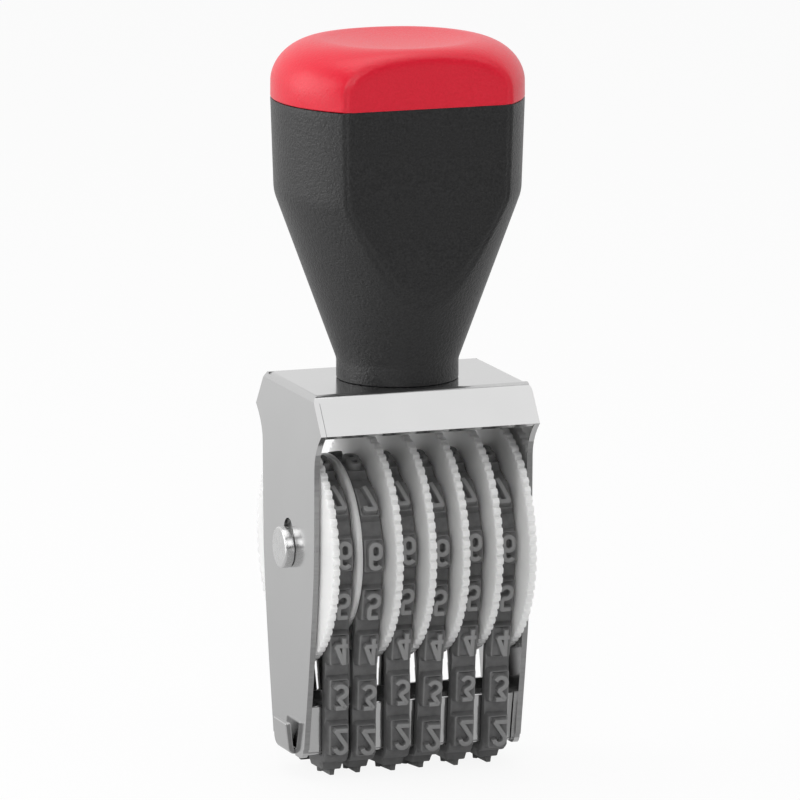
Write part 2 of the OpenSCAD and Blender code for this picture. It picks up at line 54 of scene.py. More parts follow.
# ---------------------------------------------------------------- frame and former
# The frame is one strip of plated steel, folded to a channel with a visor front and back. The
# former is a second folded sheet at its foot, which the bands run round. Sheared edges are dull.

sheet_edge = 0.14 * mm
# A face that looks fore or aft, and is narrower than this, is a cut edge of the 0.8 mm sheet.
sheared_w = 1.1 * mm
sheared_facing = 0.9
weld_gap = 0.003 * mm
flat_angle = math.radians(1)
square_angle = math.radians(40)


def paint(name, colour, roughness, metallic=0.0):
    """A node material, with its node tree and its Principled shader."""
    material = bpy.data.materials.new(name)
    material.use_nodes = True
    shader = material.node_tree.nodes["Principled BSDF"]
    shader.inputs["Base Color"].default_value = (*colour, 1)
    shader.inputs["Roughness"].default_value = roughness
    shader.inputs["Metallic"].default_value = metallic
    return material, material.node_tree, shader


def grey(value):
    """A neutral colour."""
    return (value, value, value)


def noise(tree, scale, detail=2.0, stretch=(1, 1, 1)):
    """Noise in the piece's own coordinates, with scale in features per metre along each axis."""
    place = tree.nodes.new("ShaderNodeTexCoord")
    mapping = tree.nodes.new("ShaderNodeMapping")
    texture = tree.nodes.new("ShaderNodeTexNoise")
    mapping.inputs["Scale"].default_value = [scale * s for s in stretch]
    texture.inputs["Scale"].default_value = 1
    texture.inputs["Detail"].default_value = detail
    tree.links.new(place.outputs["Object"], mapping.inputs["Vector"])
    tree.links.new(mapping.outputs["Vector"], texture.inputs["Vector"])
    return texture.outputs["Fac"]


def remap(tree, source, before, after):
    """The source, with the range before spread over the range after."""
    spread = tree.nodes.new("ShaderNodeMapRange")
    for socket, value in zip(("From Min", "From Max", "To Min", "To Max"), (*before, *after)):
        spread.inputs[socket].default_value = value
    tree.links.new(source, spread.inputs["Value"])
    return spread.outputs["Result"]


def vary(tree, source, low, high):
    """Noise, which seldom leaves the middle of its range, spread from low to high."""
    return remap(tree, source, (0.3, 0.7), (low, high))


def tint(tree, source, dark, pale):
    """A colour between dark and pale, as the source says."""
    mix = tree.nodes.new("ShaderNodeMix")
    mix.data_type = "RGBA"
    mix.inputs["A"].default_value = (*dark, 1)
    mix.inputs["B"].default_value = (*pale, 1)
    tree.links.new(source, mix.inputs["Factor"])
    return mix.outputs["Result"]


def mottle(tree, shader, source, roughness, colours):
    """Roughness and colour that each wander between two values, as the source says."""
    tree.links.new(vary(tree, source, *roughness), shader.inputs["Roughness"])
    tree.links.new(tint(tree, source, *colours), shader.inputs["Base Color"])


def emboss(tree, shader, heights):
    """Bumps the shader's normal with each (source, depth in metres) in turn."""
    normal = None
    for source, depth in heights:
        bump = tree.nodes.new("ShaderNodeBump")
        bump.inputs["Distance"].default_value = depth
        tree.links.new(source, bump.inputs["Height"])
        if normal:
            tree.links.new(normal, bump.inputs["Normal"])
        normal = bump.outputs["Normal"]
    tree.links.new(normal, shader.inputs["Normal"])


def plated_steel():
    """Bright nickel on rolled sheet: fine draw lines and a little haze."""
    material, tree, shader = paint("plated_steel", grey(0.61), 0.13, metallic=1.0)
    lines = noise(tree, 1500, detail=3, stretch=(1, 0.02, 0.4))
    haze = noise(tree, 110, detail=4)
    mottle(tree, shader, haze, (0.08, 0.18), (grey(0.585), grey(0.635)))
    emboss(tree, shader, [(lines, 0.0006 * mm), (haze, 0.002 * mm)])
    return material


def sheared_steel():
    """The cut edge of the sheet: dull, torn across its thickness and only thinly plated."""
    material, tree, shader = paint("sheared_steel", grey(0.38), 0.36, metallic=1.0)
    tear = noise(tree, 2600, detail=4, stretch=(0.15, 1, 1))
    mottle(tree, shader, tear, (0.28, 0.48), (grey(0.26), grey(0.50)))
    emboss(tree, shader, [(tear, 0.02 * mm)])
    return material


def dress(piece, materials, body, nodes):
    """Gives a piece its materials and the body it rides on, and hides the CAD nodes that it stands for.
    """
    for material in materials:
        piece.data.materials.append(material)
    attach(piece, body)
    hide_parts(*nodes)


def smooth_faces(piece, sharpest=32):
    """Smooth shading that keeps flat faces flat, and edges over that many degrees sharp."""
    piece.data.shade_smooth()
    piece.data.set_sharp_from_angle(angle=math.radians(sharpest))
    flatten = piece.modifiers.new("flatten", "WEIGHTED_NORMAL")
    flatten.keep_sharp = True


def edge_rounded(node, name, width):
    """A copy of a CAD piece with its square edges rounded off. Cut edges get its second material."""
    shape = bmesh.new()
    shape.from_mesh(frame["nodes"][node].data)
    bmesh.ops.remove_doubles(shape, verts=shape.verts, dist=weld_gap)
    bmesh.ops.dissolve_limit(shape, angle_limit=flat_angle, verts=shape.verts, edges=shape.edges)
    for face in shape.faces:
        across = 2 * face.calc_area() / face.calc_perimeter()
        if across < sheared_w and abs(face.normal.y) > sheared_facing:
            face.material_index = 1
    square = [
        edge for edge in shape.edges
        if len(edge.link_faces) == 2 and edge.calc_face_angle() > square_angle
    ]
    rounded = bmesh.ops.bevel(
        shape, geom=square, offset=width, offset_type="OFFSET", segments=2, profile=0.6,
        affect="EDGES", clamp_overlap=True,
    )
    for face in rounded["faces"]:
        face.material_index = 0
    mesh = bpy.data.meshes.new(name)
    shape.to_mesh(mesh)
    shape.free()
    piece = bpy.data.objects.new(name, mesh)
    scene.collection.objects.link(piece)
    smooth_faces(piece)
    return piece


steel = plated_steel()
sheared = sheared_steel()
for node, slot in (("frame", "plated_steel"), ("former", "plated_steel_satin")):
    sheet = edge_rounded(node, node + "_sheet", sheet_edge)
    dress(sheet, [steel, sheared], "stamp_body", [node])

# ---------------------------------------------------------------- axle and fixings
# A turned steel pin with a flanged head, and a second head pressed on at its far end. The screw
# and its washer sit under the top plate and hold the handle.

head_edge = 0.3 * mm
screw_edge = 0.06 * mm


def turned_steel():
    """Steel as it comes off the lathe and out of the plating barrel: pale, with a soft sheen."""
    material, tree, shader = paint("turned_steel", grey(0.74), 0.27, metallic=1.0)
    rub = noise(tree, 900, detail=4)
    mottle(tree, shader, rub, (0.2, 0.34), (grey(0.68), grey(0.80)))
    emboss(tree, shader, [(rub, 0.01 * mm)])
    return material


turned = turned_steel()
for node in ("axle", "axle_end"):
    pin = edge_rounded(node, node + "_turned", head_edge)
    dress(pin, [turned, turned], "stamp_body", [node])
for node in ("handle_screw", "screw_washer"):
    fixing = edge_rounded(node, node + "_turned", screw_edge)
    dress(fixing, [steel, steel], "stamp_body", [node])

# ---------------------------------------------------------------- thumbwheels
# Six mouldings in white acetal: a toothed disc with a drum on one side, cored from its open end
# round six ribs. The first is turned round, and a smooth disc keeps its band from the next one.

columns = 6
axle_z = frame["joints"][0]["pos_m"][2]
wheel_r = 16.5 * mm
teeth = 72
tooth_depth = 0.44 * mm
disc_t = 1.0 * mm
drum_r = 9.75 * mm
drum_len = 3.8 * mm
drum_wall = 1.4 * mm
drum_fillet = 0.25 * mm
drum_edge = 0.1 * mm
boss_r = 4.0 * mm
bore_r = 2.05 * mm
rim_round = 0.1 * mm
# The middle of a small round passes this far from its corner's lines, as a share of its size.
arc_mid = 0.28
notch_margin = 0.5 * mm
spokes = 6
spoke_t = 0.8 * mm
spoke_drop = 0.6 * mm
# The ribs run this far into the boss and the drum, and into the disc.
spoke_root = 0.5 * mm
spoke_foot = 0.2 * mm
divider_edge = 0.04 * mm
# One notch and one land, as shares of the pitch and of the notch's depth. The notch is a scallop.
notch_side = [(0.27, 0.0), (0.22, 0.3), (0.16, 0.62), (0.08, 0.9)]
notch_floor = (0.0, 1.0)
land = [(0.385, 0.0), (0.5, 0.0), (0.615, 0.0)]
tooth_shape = [(-share, sunk) for share, sunk in notch_side]
tooth_shape += [notch_floor, *reversed(notch_side), *land]
# So many points of the toothed rim to each point of the flat inside it.
rim_fan = 6


def new_piece(name, shape):
    """An object from a bmesh."""
    mesh = bpy.data.meshes.new(name)
    bmesh.ops.recalc_face_normals(shape, faces=shape.faces)
    shape.to_mesh(mesh)
    shape.free()
    piece = bpy.data.objects.new(name, mesh)
    scene.collection.objects.link(piece)
    return piece


def bridge(shape, rings, closed=False):
    """Quads between each ring of vertices and the next."""
    pairs = list(zip(rings, rings[1:]))
    if closed:
        pairs.append((rings[-1], rings[0]))
    for a, b in pairs:
        for i in range(len(a)):
            j = (i + 1) % len(a)
            shape.faces.new((a[i], a[j], b[j], b[i]))


def plain_ring(shape, x, r, count):
    """A ring of so many vertices about the X axis."""
    turns = [math.tau * i / count for i in range(count)]
    return [shape.verts.new((x, r * math.cos(turn), r * math.sin(turn))) for turn in turns]


def toothed_ring(shape, x, inset):
    """The ring of the notched rim at x, drawn in by the inset."""
    verts = []
    for i in range(teeth):
        for share, sunk in tooth_shape:
            angle = math.tau * (i + share) / teeth
            r = wheel_r - inset - tooth_depth * sunk
            verts.append(shape.verts.new((x, r * math.cos(angle), r * math.sin(angle))))
    return verts


def slab(shape, low, high):
    """A plain box between two corners."""
    low, high = Vector(low), Vector(high)
    stand = Matrix.LocRotScale((low + high) / 2, None, high - low)
    bmesh.ops.create_cube(shape, size=1, matrix=stand)


def wheel_shape():
    """A wheel about the X axis, with its disc from x = 0 and its drum towards +X."""
    shape = bmesh.new()
    rim = [(0, rim_round), (0.3 * rim_round, 0.3 * rim_round), (rim_round, 0)]
    rim += [(disc_t - x, inset) for x, inset in reversed(rim)]
    rings = [toothed_ring(shape, x, inset) for x, inset in rim]
    bridge(shape, rings)
    segments = teeth * len(tooth_shape) // rim_fan
    flats = []
    for x, ring in ((0, rings[0]), (disc_t, rings[-1])):
        flat = plain_ring(shape, x, wheel_r - tooth_depth - notch_margin, segments)
        for i in range(segments):
            start = i * rim_fan + tooth_shape.index(notch_floor)
            outer = [ring[(start + n) % len(ring)] for n in range(rim_fan + 1)]
            shape.faces.new([*outer, flat[(i + 1) % segments], flat[i]])
        flats.append(flat)
    end = disc_t + drum_len
    hollow_r = drum_r - drum_wall
    fillet_mid = arc_mid * drum_fillet
    profile = [
        (disc_t, drum_r + drum_fillet), (disc_t + fillet_mid, drum_r + fillet_mid),
        (disc_t + drum_fillet, drum_r), (end - drum_edge, drum_r), (end, drum_r - drum_edge),
        (end, hollow_r), (disc_t, hollow_r),
        (disc_t, boss_r), (end, boss_r), (end, bore_r), (0, bore_r),
    ]
    turned_rings = [plain_ring(shape, x, r, segments) for x, r in profile]
    bridge(shape, [flats[1], *turned_rings, flats[0]])
    for i in range(spokes):
        first = len(shape.verts)
        slab(shape, (disc_t - spoke_foot, -spoke_t / 2, boss_r - spoke_root),
             (end - spoke_drop, spoke_t / 2, hollow_r + spoke_root))
        shape.verts.ensure_lookup_table()
        turn = Matrix.Rotation(math.tau * i / spokes, 3, "X")
        bmesh.ops.rotate(shape, verts=shape.verts[first:], cent=(0, 0, 0), matrix=turn)
    return shape


def white_acetal():
    """Moulded acetal, a little waxy, with a faint mottle and a satin tool finish."""
    material, tree, shader = paint("white_acetal", (0.82, 0.82, 0.81), 0.38)
    cloud = noise(tree, 260, detail=3)
    grain = noise(tree, 5200)
    mottle(tree, shader, cloud, (0.33, 0.43), ((0.80, 0.80, 0.79), (0.84, 0.84, 0.83)))
    emboss(tree, shader, [(cloud, 0.02 * mm), (grain, 0.004 * mm)])
    shader.inputs["Subsurface Weight"].default_value = 1.0
    shader.inputs["Subsurface Radius"].default_value = (1, 1, 1)
    shader.inputs["Subsurface Scale"].default_value = 3.5 * mm
    return material


white = white_acetal()
for k in range(1, columns + 1):
    node = f"thumbwheel_{k}"
    low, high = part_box(node)
    wheel = new_piece(f"wheel_{k}_moulding", wheel_shape())
    smooth_faces(wheel, sharpest=50)
    if k == 1:
        stand = Matrix.Translation((low.x, 0, axle_z))
    else:
        stand = Matrix.Translation((high.x, 0, axle_z)) @ Matrix.Rotation(math.pi, 4, "Z")
    wheel.data.transform(stand)
    dress(wheel, [white], f"wheel_{k}", [node])

divider = edge_rounded("divider_disc", "divider_moulding", divider_edge)
dress(divider, [white, white], "divider", ["divider_disc"])

# ---------------------------------------------------------------- bands
# Six endless rubber bands, each moulded in one piece with fifteen drafted pads that carry the
# type: 0 to 9, a point, a comma, a dash and a slash. The last pad is blank. Sizes are in mm.

type_order = "0123456789.,-/ "
band_w = 3.6
band_t = 1.2
band_edge = 0.22
pad_h = 1.1
pad_w = 2.75
pad_len = 4.5
pad_draft = 0.4
pad_corner = 0.22
pad_steps = 5
digit_h = 0.9
type_size = 4.0
type_w = 2.1
stroke_w = 0.62
stroke_steps = 0.45
# The tops of a sign's strokes are a hair apart, so that they don't mix where the strokes cross.
stroke_layer = 0.006
# Below this cosine a turn in a stroke is a sharp corner, and its outer side is cut off.
sharp_turn = 0.3
same_point = 1e-4
# The centre lines of the strokes reach this far from the middle of the type.
half_x = (type_w - stroke_w) / 2
half_y = (type_size - stroke_w) / 2
bowl = half_x + 0.05

# A band's neutral line, with s along it up the front from the middle of the print face: a flat
# foot, a corner round the former, a straight run and half a turn round the drum. Behind, s is
# less than 0. Loop_parts gives each stretch's two ends and how many steps it is drawn in.
neutral = band_t / 2
drum_gap = 0.05
path_r = drum_r / mm + drum_gap + neutral
corner_r = 1.3
corner_y = 3.955
corner_z = digit_h + pad_h + neutral + corner_r
wheel_z = axle_z / mm
centre_gap = math.hypot(corner_y, wheel_z - corner_z)
run_tilt = math.asin((path_r - corner_r) / centre_gap) - math.atan2(corner_y, wheel_z - corner_z)
s_run = corner_y + corner_r * (math.pi / 2 - run_tilt)
s_drum = s_run + math.sqrt(centre_gap**2 - (path_r - corner_r) ** 2)
half_loop = s_drum + path_r * (math.pi / 2 + run_tilt)
loop_parts = ((0, corner_y, 3), (corner_y, s_run, 8), (s_run, s_drum, 22), (s_drum, half_loop, 40))
pitch = 2 * half_loop / len(type_order)
# Where the pads that carry a 1 stand, and how much further round each band has slipped.
one_s = 1.3
slack = [0.2, -0.15, 0.25, -0.25, 0.1, -0.3]
# Middle of each band from the left plate: on its drum, and at the corner in front and behind. From
# creep_s on it has reached its place on the drum.
half_w = 16.2
drum_u = [3.95, 8.5, 13.4, 18.35, 23.25, 28.25]
front_u = [5.1, 9.12, 14.25, 18.76, 23.72, 28.8]
back_u = [4.85, 8.85, 13.0, 17.0, 23.3, 28.3]
creep_s = [25.5, 19.6, 19.6, 19.6, 19.6, 19.6]


def facing(s):
    """The way a band faces at s: 0 is down, a quarter turn is forward, a half turn is up."""
    if s <= corner_y:
        return 0
    if s <= s_run:
        return (s - corner_y) / corner_r
    if s <= s_drum:
        return math.pi / 2 - run_tilt
    return math.pi / 2 - run_tilt + (s - s_drum) / path_r


def loop_point(s, n):
    """(y, z) at s along a band's neutral line from the middle of the print face, n outward."""
    front = abs(s)
    turn = facing(front)
    away = Vector((-math.sin(turn), -math.cos(turn)))
    if front <= corner_y:
        point = Vector((-front, corner_z - corner_r - n))
    elif front <= s_drum:
        point = Vector((-corner_y, corner_z)) + (corner_r + n) * away
        if front > s_run:
            point += (front - s_run) * Vector((-math.sin(run_tilt), math.cos(run_tilt)))
    else:
        point = Vector((0, wheel_z)) + (path_r + n) * away
    return Vector((point.x if s >= 0 else -point.x, point.y))


def band_x(k, s):
    """Middle of band k at s. It creeps sideways to the foot, and lies askew under the former."""
    front, back, drum = front_u[k - 1], back_u[k - 1], drum_u[k - 1]
    foot = front if s >= 0 else back
    if abs(s) <= corner_y:
        middle = (front + back) / 2
        return -half_w + middle + (foot - middle) * abs(s) / corner_y
    share = min(max((abs(s) - s_run) / (creep_s[k - 1] - s_run), 0), 1)
    return -half_w + foot + (drum - foot) * share


def on_band(k, s, x, along, n):
    """The point at x, along and n of a pad that stands at s. Along runs against s."""
    front = abs(s)
    if corner_y < front < s_run:
        # A pad on the corner stays flat, and stands off the bend at both ends.
        turn = facing(front)
        on = Vector((-math.cos(turn), math.sin(turn) if s >= 0 else -math.sin(turn)))
        y, z = loop_point(s, n) - along * on
        return Vector((band_x(k, s) + x, y, z)) * mm
    reach = path_r / (path_r + n) if front > s_drum else 1
    s -= along * reach
    y, z = loop_point(s, n)
    return Vector((band_x(k, s) + x, y, z)) * mm


def curve(cx, cy, r, start, end, steps=12):
    """Points on an arc, with angles in degrees."""
    turns = [math.radians(start + (end - start) * i / steps) for i in range(steps + 1)]
    return [(cx + r * math.cos(a), cy + r * math.sin(a)) for a in turns]


def oval(low, high):
    """Centre line of an upright oval between two heights."""
    return (
        curve(0, high - half_x, half_x, 0, 180, 14) + curve(0, low + half_x, half_x, 180, 360, 14)
    )


def type_strokes(sign):
    """The strokes of a sign's type, each a list of points and whether it closes on itself."""
    left, right, low, high = -half_x, half_x, -half_y, half_y
    foot = low - stroke_w / 2
    six = [
        (oval(low, 0.25), True),
        ([(left, low + half_x), (left, high - half_x)]
         + curve(0, high - half_x, half_x, 170, 30, 9), False),
    ]
    strokes = {
        "0": [(oval(low, high), True)],
        "1": [([(-0.62, 0.95), (0.12, high), (0.12, foot)], False)],
        "2": [(curve(0, high - bowl, bowl, 175, -30)
               + [(left, low), (right + stroke_w / 2, low)], False)],
        "3": [([(left, high), (right - 0.1, high), (-0.3, 0.35)]
               + curve(-0.02, low + bowl + 0.12, bowl + 0.05, 70, -155), False)],
        "4": [([(0.3, high), (left, -0.85), (right + 0.2, -0.85)], False),
              ([(0.4, high + stroke_w / 2), (0.4, foot)], False)],
        "5": [([(right, high), (left + 0.15, high), (left + 0.15, 0.35)]
               + curve(-0.05, low + bowl + 0.1, bowl + 0.08, 110, -155), False)],
        "6": six,
        "7": [([(left - 0.1, high - 0.5), (left - 0.1, high), (right, high), (-0.3, foot)], False)],
        "8": [(oval(low, 0.15 + stroke_w / 4), True), (oval(0.15 - stroke_w / 4, high), True)],
        "9": [([(-x, -y) for x, y in points], closed) for points, closed in six],
        ".": [([(-0.1, foot + 0.35), (0.25, foot + 0.35)], False)],
        ",": [([(0.15, -1.1), (-0.25, foot)], False)],
        "-": [([(left, 0), (right, 0)], False)],
        "/": [([(right, high), (left, low)], False)],
        " ": [],
    }
    return strokes[sign]


def stations(points, closed):
    """Stops along a stroke: (point, left way, right way), close enough together to bend."""
    line = []
    count = len(points)
    for i in range(count if closed else count - 1):
        a, b = Vector(points[i]), Vector(points[(i + 1) % count])
        if (b - a).length < same_point:
            continue
        pieces = max(1, math.ceil((b - a).length / stroke_steps))
        line += [a.lerp(b, j / pieces) for j in range(pieces)]
    if not closed:
        line.append(Vector(points[-1]))
    stops = []
    last = len(line) - 1
    for i, at in enumerate(line):
        before = line[i - 1] if i or closed else None
        after = line[(i + 1) % len(line)] if i < last or closed else None
        a = (at - before).normalized() if before is not None else (after - at).normalized()
        b = (after - at).normalized() if after is not None else a
        left_a, left_b = Vector((-a.y, a.x)), Vector((-b.y, b.x))
        miter = (left_a + left_b) / (1 + left_a.dot(left_b))
        if left_a.dot(left_b) >= sharp_turn:
            stops.append((at, miter, -miter))
        elif left_a.cross(left_b) > 0:
            stops += [(at, miter, -left_a), (at, miter, -left_b)]
        else:
            stops += [(at, left_a, -miter), (at, left_b, -miter)]
    return stops


def raise_strip(shape, k, s, stops, halves, levels, closed=False):
    """A strip raised on band k at s, with drafted, rounded sides. Levels are (spread, height, painted
    highlight).
    """
    # Each vertex carries a share of painted highlight, paler where the strip's top faces the light.
    painted_highlight = shape.verts.layers.float["painted_highlight"]
    chains = []
    last = len(stops) - 1
    for spread, height, highlight_share in levels:
        left, right = [], []
        for i, (at, to_left, to_right) in enumerate(stops):
            end = Vector((0, 0))
            if not closed and i == 0:
                end = Vector((-to_left.y, to_left.x)) * spread
            elif not closed and i == last:
                end = Vector((to_left.y, -to_left.x)) * spread
            for chain, way in ((left, to_left), (right, to_right)):
                point = at + end + way * (halves[i] + spread)
                vert = shape.verts.new(on_band(k, s, point.x, point.y, height))
                vert[painted_highlight] = highlight_share
                chain.append(vert)
        chains.append((left, right))
    spans = [(i, i + 1) for i in range(last)]
    if closed:
        spans.append((last, 0))
    faces = []
    for (left_a, right_a), (left_b, right_b) in zip(chains, chains[1:]):
        for i, j in spans:
            faces.append((left_a[i], left_a[j], left_b[j], left_b[i]))
            faces.append((right_a[j], right_a[i], right_b[i], right_b[j]))
        if not closed:
            faces.append((right_a[0], left_a[0], left_b[0], right_b[0]))
            faces.append((left_a[last], right_a[last], right_b[last], left_b[last]))
    for left, right in (chains[0], chains[-1]):
        faces += [(left[i], left[j], right[j], right[i]) for i, j in spans]
    for face in faces:
        shape.faces.new(face)


def band_loop(shape, k):
    """The plain band: a rounded oblong section swept round the loop."""
    marks = [a + (b - a) * i / steps for a, b, steps in loop_parts for i in range(steps)]
    marks.append(half_loop)
    marks += [-s for s in reversed(marks[1:-1])]
    section = []
    for sx, sn, start in ((1, 1, 0), (-1, 1, 90), (-1, -1, 180), (1, -1, 270)):
        cx, cn = sx * (band_w / 2 - band_edge), sn * (neutral - band_edge)
        section += curve(cx, cn, band_edge, start, start + 90, 3)
    rings = []
    for s in marks:
        ring = []
        for x, n in section:
            y, z = loop_point(s, n)
            ring.append(shape.verts.new(Vector((band_x(k, s) + x, y, z)) * mm))
        rings.append(ring)
    bridge(shape, rings, closed=True)


def pad_stops():
    """Stops and half widths along a pad, whose corners are rounded in plan."""
    straight = pad_len / 2 - pad_corner
    turns = [math.radians(a) for a in (90, 60, 30, 0)]
    marks = [straight + pad_corner * math.sin(a) for a in turns]
    halves = [pad_w / 2 - pad_corner + pad_corner * math.cos(a) for a in turns]
    marks += [straight * (1 - i / pad_steps) for i in range(1, pad_steps)]
    halves += [pad_w / 2] * (pad_steps - 1)
    marks += [0] + [-y for y in reversed(marks)]
    halves += [pad_w / 2] + list(reversed(halves))
    left = Vector((1, 0))
    return [(Vector((0, y)), left, -left) for y in marks], halves


def number_band(k):
    """Band k: the loop, its pads and its type. Its float layer paints highlights on the tops and top
    edges.
    """
    shape = bmesh.new()
    shape.verts.layers.float.new("painted_highlight")
    band_loop(shape, k)
    pad_top = neutral + pad_h
    # The last number of each level is painted highlight: the pad's rounded top edge is painted paler.
    pad_levels = [
        (pad_draft, neutral - 0.1, 0), (pad_draft * 0.55, neutral + 0.42 * pad_h, 0),
        (0.07, pad_top - 0.13, 0.1), (0.02, pad_top - 0.04, 0.5),
        (-0.07, pad_top, 0.5), (-0.2, pad_top, 0),
    ]
    for number, sign in enumerate(type_order):
        s = one_s + slack[k - 1] + (number - 1) * pitch
        if s > half_loop:
            s -= 2 * half_loop
        stops, halves = pad_stops()
        raise_strip(shape, k, s, stops, halves, pad_levels)
        for layer, (points, closed) in enumerate(type_strokes(sign)):
            top = pad_top + digit_h - stroke_layer * layer
            # Painted highlight: the type's rounded top edges and its tops are painted paler than the
            # pad.
            levels = [
                (0.13, pad_top - 0.06, 0), (0.06, pad_top + 0.25, 0), (0.015, top - 0.09, 0.5),
                (-0.015, top - 0.03, 1), (-0.07, top, 1),
            ]
            stops = stations(points, closed)
            raise_strip(shape, k, s, stops, [stroke_w / 2] * len(stops), levels, closed)
    return shape


def black_rubber():
    """Grey-black vulcanised rubber: matt and mottled, with painted highlights paler on the type."""
    material, tree, shader = paint("band_rubber", grey(0.15), 0.62)
    bloom = noise(tree, 900, detail=4)
    grain = noise(tree, 7000)
    # Painted highlight: the base colour turns paler where the layer marks the type's tops and pad
    # edges.
    highlight_layer = tree.nodes.new("ShaderNodeAttribute")
    highlight_layer.attribute_name = "painted_highlight"
    tone = tint(tree, vary(tree, bloom, 0.0, 1.0), (0.125, 0.125, 0.126), grey(0.175))
    highlight_tone = tint(tree, highlight_layer.outputs["Fac"], grey(0.15), grey(0.27))
    tree.links.new(tone, highlight_tone.node.inputs["A"])
    tree.links.new(highlight_tone, shader.inputs["Base Color"])
    tree.links.new(vary(tree, bloom, 0.5, 0.7), shader.inputs["Roughness"])
    emboss(tree, shader, [(bloom, 0.02 * mm), (grain, 0.006 * mm)])
    return material


rubber = black_rubber()
for k in range(1, columns + 1):
    band = new_piece(f"number_band_{k}", number_band(k))
    smooth_faces(band, sharpest=38)
    dress(band, [rubber], "stamp_body", [f"band_{k}"])

# ---------------------------------------------------------------- handle
# A black grip, turned in form with a leaning flat front and back, and a red cap pressed into it.
# Both are moulded plastic with a fine spark-eroded grain. Sizes are in mm.

handle_r = 17.8
top_z = 55.8
seam_z = 95.7
cap_top_z = 103.9
flat_y = 12.9
flat_lean = math.tan(math.radians(1.45))
collar_r = 8.6
collar_h = 2.8
collar_edge = 0.25
collar_bend = 0.3
shoulder = Vector((17.35, 82.4))
shoulder_round = 6.0
seam_round = 0.22
cap_gap = 0.03
cap_round_w = 7.2
cap_round_h = 6.1
dish = 0.6
# Both forms start from a hidden flat face of this radius, and the grip ends in one.
core_r = 3
# How softly the flats meet the turned form, low down and at the very top, and the line there.
crease = 0.16
top_crease = 1.5
groove_depth = 0.16
groove_w = 0.3
around = 720
cone_steps = 64
shoulder_steps = 14
barrel_steps = 16
cap_round_steps = 26
dish_steps = 12


def fillet(a, b, c, r, steps):
    """Points of the arc of radius r that rounds the corner b of the line a, b, c."""
    back, on = (a - b).normalized(), (c - b).normalized()
    half = back.angle(on) / 2
    first = b + back * r / math.tan(half)
    final = b + on * r / math.tan(half)
    mid = b + (back + on).normalized() * r / math.sin(half)
    points = []
    for i in range(steps + 1):
        way = (first - mid).lerp(final - mid, i / steps).normalized()
        points.append(mid + way * r)
    return points


def stretch_of(a, b, count):
    """Points from a towards b, without b."""
    return [a.lerp(b, i / count) for i in range(count)]


def edge_arc(r, z, across, up, angles):
    """Points of the oval arc that leaves radius r at 0 degrees and reaches height z at 90."""
    return [
        Vector((r - across * (1 - math.cos(a)), z - up * (1 - math.sin(a))))
        for a in map(math.radians, angles)
    ]


def flatted_turning(name, profile):
    """A turned form cut by the two leaning flats, with a soft, sunk line where they meet it."""
    shape = bmesh.new()
    rings = []
    for r, z in profile:
        flat = flat_y + (z - seam_z) * flat_lean
        rise = min(max((z - seam_z) / (cap_top_z - seam_z), 0), 1)
        soft = crease + (top_crease - crease) * rise**3
        ring = []
        for i in range(around):
            angle = math.tau * i / around
            reach = flat / max(abs(math.sin(angle)), 0.001)
            closer, further = min(r, reach), max(r, reach)
            cut = closer - soft * math.log1p(math.exp(-(further - closer) / soft))
            cut -= groove_depth * (1 - rise) * math.exp(-((r - reach) / groove_w) ** 2)
            ring.append(shape.verts.new(Vector((cut * math.cos(angle), cut * math.sin(angle), z)) * mm))
        rings.append(ring)
    bridge(shape, rings)
    shape.faces.new(rings[0])
    shape.faces.new(rings[-1])
    piece = new_piece(name, shape)
    smooth_faces(piece, sharpest=35)
    return piece


def grip_profile():
    """The grip's outline as (radius, height): collar, cone, shoulder and barrel, up to the seam."""
    foot = Vector((collar_r, top_z + collar_h))
    bend = fillet(foot, shoulder, Vector((handle_r, seam_z)), shoulder_round, shoulder_steps)
    collar = [
        Vector((core_r, top_z)),
        Vector((collar_r - collar_edge, top_z)),
        Vector((collar_r - arc_mid * collar_edge, top_z + arc_mid * collar_edge)),
        Vector((collar_r, top_z + collar_edge)),
        Vector((collar_r, foot.y - collar_bend)),
    ]
    eased = Vector((collar_r + 0.2 * collar_bend, foot.y + 0.5 * collar_bend))
    cone = stretch_of(eased, bend[0], cone_steps)
    barrel = stretch_of(bend[-1], Vector((handle_r, seam_z - seam_round)), barrel_steps)
    seam = edge_arc(handle_r, seam_z, seam_round, seam_round, (0, 30, 60, 90))
    return collar + cone + bend + barrel[1:] + seam + [Vector((core_r, seam_z - 0.02))]


def cap_profile():
    """The cap's outline as (radius, height): the seam, a broad round edge and the dished top."""
    foot_z = seam_z + cap_gap
    seam = edge_arc(handle_r, foot_z, seam_round, -seam_round, (90, 60, 30, 0))
    turns = [90 * i / cap_round_steps for i in range(1, cap_round_steps + 1)]
    edge = edge_arc(handle_r, cap_top_z, cap_round_w, cap_round_h, turns)
    shares = [1 - i / (dish_steps + 0.5) for i in range(1, dish_steps + 1)]
    top_r = handle_r - cap_round_w
    top = [Vector((top_r * share, cap_top_z - dish * (1 - share * share))) for share in shares]
    return [Vector((core_r, foot_z))] + seam + edge + top


def moulded(name, dark, pale, roughness, coarse):
    """Moulded plastic with a leathery, spark-eroded grain that is paler on its crests."""
    material, tree, shader = paint(name, pale, roughness)
    pits = noise(tree, 3600)
    skin = noise(tree, 2100)
    tree.links.new(tint(tree, vary(tree, pits, 0.0, 1.0), dark, pale), shader.inputs["Base Color"])
    tree.links.new(vary(tree, pits, roughness - 0.05, roughness + 0.06), shader.inputs["Roughness"])
    emboss(tree, shader, [(skin, coarse), (pits, coarse)])
    return material


